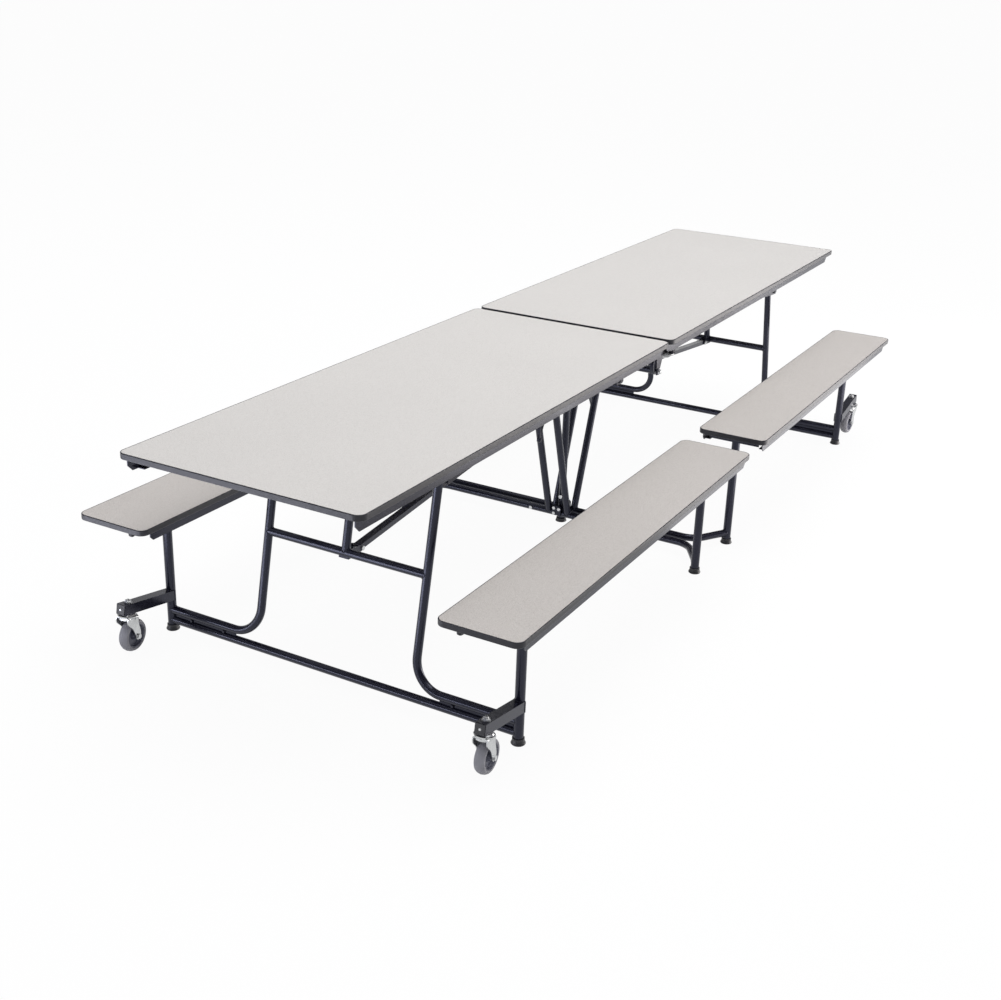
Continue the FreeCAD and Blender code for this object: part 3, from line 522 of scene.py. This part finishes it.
def cup_shade_rims():
    """Rolled edges of each cup's flange and of its bottom, dark as painted shade that outlines each cup."""
    shape = Shape()
    for sy in (-1, 1):
        for radius, height, wire in ((33.0, RAIL_LOW - 2.4, 0.8), (21.0, RAIL_LOW - 8.2, 0.7)):
            wire_ring(shape, Vector((CUP_X, sy * CUP_Y, height)), X, Y, radius, wire, sides=10, count=72)
    return shape


joints = {row["name"]: row for row in frame["joints"]}
for end, sx in (("near", -1), ("far", 1)):
    piece(end + "_end_welds", end_frame_welds(sx), end + "_end_frame", "black_steel", 60.0)
    piece(end + "_top_screws", top_screws(sx), end + "_top", "zinc_hardware")
    for side, sy in (("right", -1), ("left", 1)):
        corner = end + "_" + side
        piece(corner + "_seat_screws", seat_screws(sx, sy), corner + "_bench", "zinc_hardware")
        spin = joints[corner + "_wheel_spin"]
        hub = Vector(spin["pos_m"]) / MM
        # The hub steps take the hub colour, darkened as painted shade of the dish.
        piece(corner + "_hub_steps", hub_steps(hub, spin["axis"]), corner + "_wheel", "caster_hub")
        piece(corner + "_tread_lines", tread_lines(hub, spin["axis"]), corner + "_wheel",
              "grey_rubber", 60.0)
piece("centre_welds", centre_welds(), "centre_frame", "black_steel", 60.0)
piece("fold_tube_plugs", fold_tube_plugs(), "centre_frame", "black_plastic")
piece("lock_nuts", lock_nuts(), "near_top", "zinc_hardware")
piece("lock_washers", lock_washers(), "near_top", "black_steel")
piece("cup_coils", cup_coils(), "far_top", "zinc_hardware")
# Black rings at the cup edges: painted shade that outlines the cups.
piece("cup_shade_rims", cup_shade_rims(), "far_top", "black_steel")


# ---- floor, light and camera --------------------------------------------------

def white_floor():
    """Pale floor that reads as white and still keeps a soft shadow."""
    bpy.ops.mesh.primitive_plane_add(size=600.0, location=(0.0, 0.0, 0.0))
    floor = bpy.context.object
    floor.name = "floor"
    material = bpy.data.materials.new("floor_white")
    material.use_nodes = True
    tree = material.node_tree
    tree.nodes.clear()
    path = add(tree, "ShaderNodeLightPath")
    white = add(tree, "ShaderNodeEmission", Strength=1.0)
    paint = add(tree, "ShaderNodeBsdfDiffuse", Color=(0.88, 0.88, 0.88, 1.0))
    seen = add(tree, "ShaderNodeMixShader")
    out = add(tree, "ShaderNodeOutputMaterial")
    rays = path.outputs["Is Camera Ray"]
    for name in ("Is Glossy Ray", "Is Transmission Ray"):
        either = add(tree, "ShaderNodeMath", operation="MAXIMUM")
        tree.links.new(rays, either.inputs[0])
        tree.links.new(path.outputs[name], either.inputs[1])
        rays = either.outputs[0]
    share = add(tree, "ShaderNodeMath", operation="MULTIPLY")
    share.inputs[1].default_value = 0.95
    tree.links.new(rays, share.inputs[0])
    tree.links.new(share.outputs[0], seen.inputs["Fac"])
    tree.links.new(paint.outputs["BSDF"], seen.inputs[1])
    tree.links.new(white.outputs["Emission"], seen.inputs[2])
    tree.links.new(seen.outputs["Shader"], out.inputs["Surface"])
    floor.data.materials.append(material)


def studio_world():
    """White near the horizon, dim above it and bright again overhead."""
    world = bpy.data.worlds.new("studio")
    scene.world = world
    world.use_nodes = True
    tree = world.node_tree
    tree.nodes.clear()
    coords = add(tree, "ShaderNodeTexCoord")
    split = add(tree, "ShaderNodeSeparateXYZ")
    tree.links.new(coords.outputs["Generated"], split.inputs["Vector"])
    sky = ramp(tree, split.outputs["Z"],
               [(0.0, (1.0, 1.0, 1.0)), (0.16, (0.98, 0.98, 0.98)), (0.27, (0.12, 0.12, 0.15)),
                (0.50, (0.18, 0.18, 0.21)), (0.72, (0.60, 0.60, 0.62)), (1.0, (0.95, 0.95, 0.96))])
    soft = add(tree, "ShaderNodeBackground", Strength=1.0)
    out = add(tree, "ShaderNodeOutputWorld")
    tree.links.new(sky, soft.inputs["Color"])
    tree.links.new(soft.outputs["Background"], out.inputs["Surface"])


def area_light(name, place, aim, size, power, color):
    data = bpy.data.lights.new(name, "AREA")
    data.shape = "RECTANGLE"
    data.size, data.size_y = size
    data.energy = power
    data.color = color
    lamp = bpy.data.objects.new(name, data)
    scene.collection.objects.link(lamp)
    lamp.location = place
    lamp.rotation_euler = (Vector(aim) - Vector(place)).to_track_quat("-Z", "Y").to_euler()
    lamp.visible_camera = False


def camera():
    """The photograph's view, from beyond the near end and above the right side."""
    azimuth, elevation, roll = (math.radians(a) for a in (28.812, 22.289, -2.010))
    place = (-4.255609, -2.081944, 2.011599)
    focal, photo_width, sensor = 1385.725, 1001.0, 36.0  # pixels, pixels and millimetres
    forward = Vector((math.cos(elevation) * math.cos(azimuth),
                      math.cos(elevation) * math.sin(azimuth), -math.sin(elevation)))
    right = Vector((math.sin(azimuth), -math.cos(azimuth), 0.0))
    down = forward.cross(right)
    turned_right = math.cos(roll) * right + math.sin(roll) * down
    turned_down = math.cos(roll) * down - math.sin(roll) * right
    data = bpy.data.cameras.new("camera")
    data.sensor_fit = "HORIZONTAL"
    data.sensor_width = sensor
    data.lens = focal / photo_width * sensor
    data.clip_end = 200.0
    view = bpy.data.objects.new("camera", data)
    scene.collection.objects.link(view)
    axes = Matrix((turned_right, -turned_down, -forward)).transposed().to_4x4()
    view.matrix_world = Matrix.Translation(place) @ axes
    scene.camera = view


# Name, place and aim in metres, size in metres, power in watts, colour. The two low lamps
# light the tubes from the sides, the two glows lie on the floor and light the undersides.
COOL, WARM = (0.84, 0.86, 1.0), (1.0, 0.95, 0.93)
LAMPS = [
    ("key", (0.9, -0.6, 7.0), (0.2, 0.0, 0.4), (6.0, 6.0), 350.0, (1.0, 1.0, 1.0)),
    ("left_low", (-7.0, 4.2, 0.50), (-0.8, 0.0, 0.35), (5.0, 0.7), 116.0, COOL),
    ("left_glow", (-2.9, 1.1, 0.02), (-2.9, 1.1, 3.0), (1.6, 1.6), 40.0, COOL),
    ("right_low", (2.2, -2.4, 0.40), (0.6, 0.3, 0.45), (3.4, 0.78), 66.0, WARM),
    ("right_glow", (1.4, -1.65, 0.02), (1.4, -1.65, 3.0), (2.6, 1.2), 25.0, (1.0, 0.96, 0.94)),
]

white_floor()
studio_world()
for lamp in LAMPS:
    area_light(*lamp)
camera()

scene.view_settings.view_transform = "Standard"
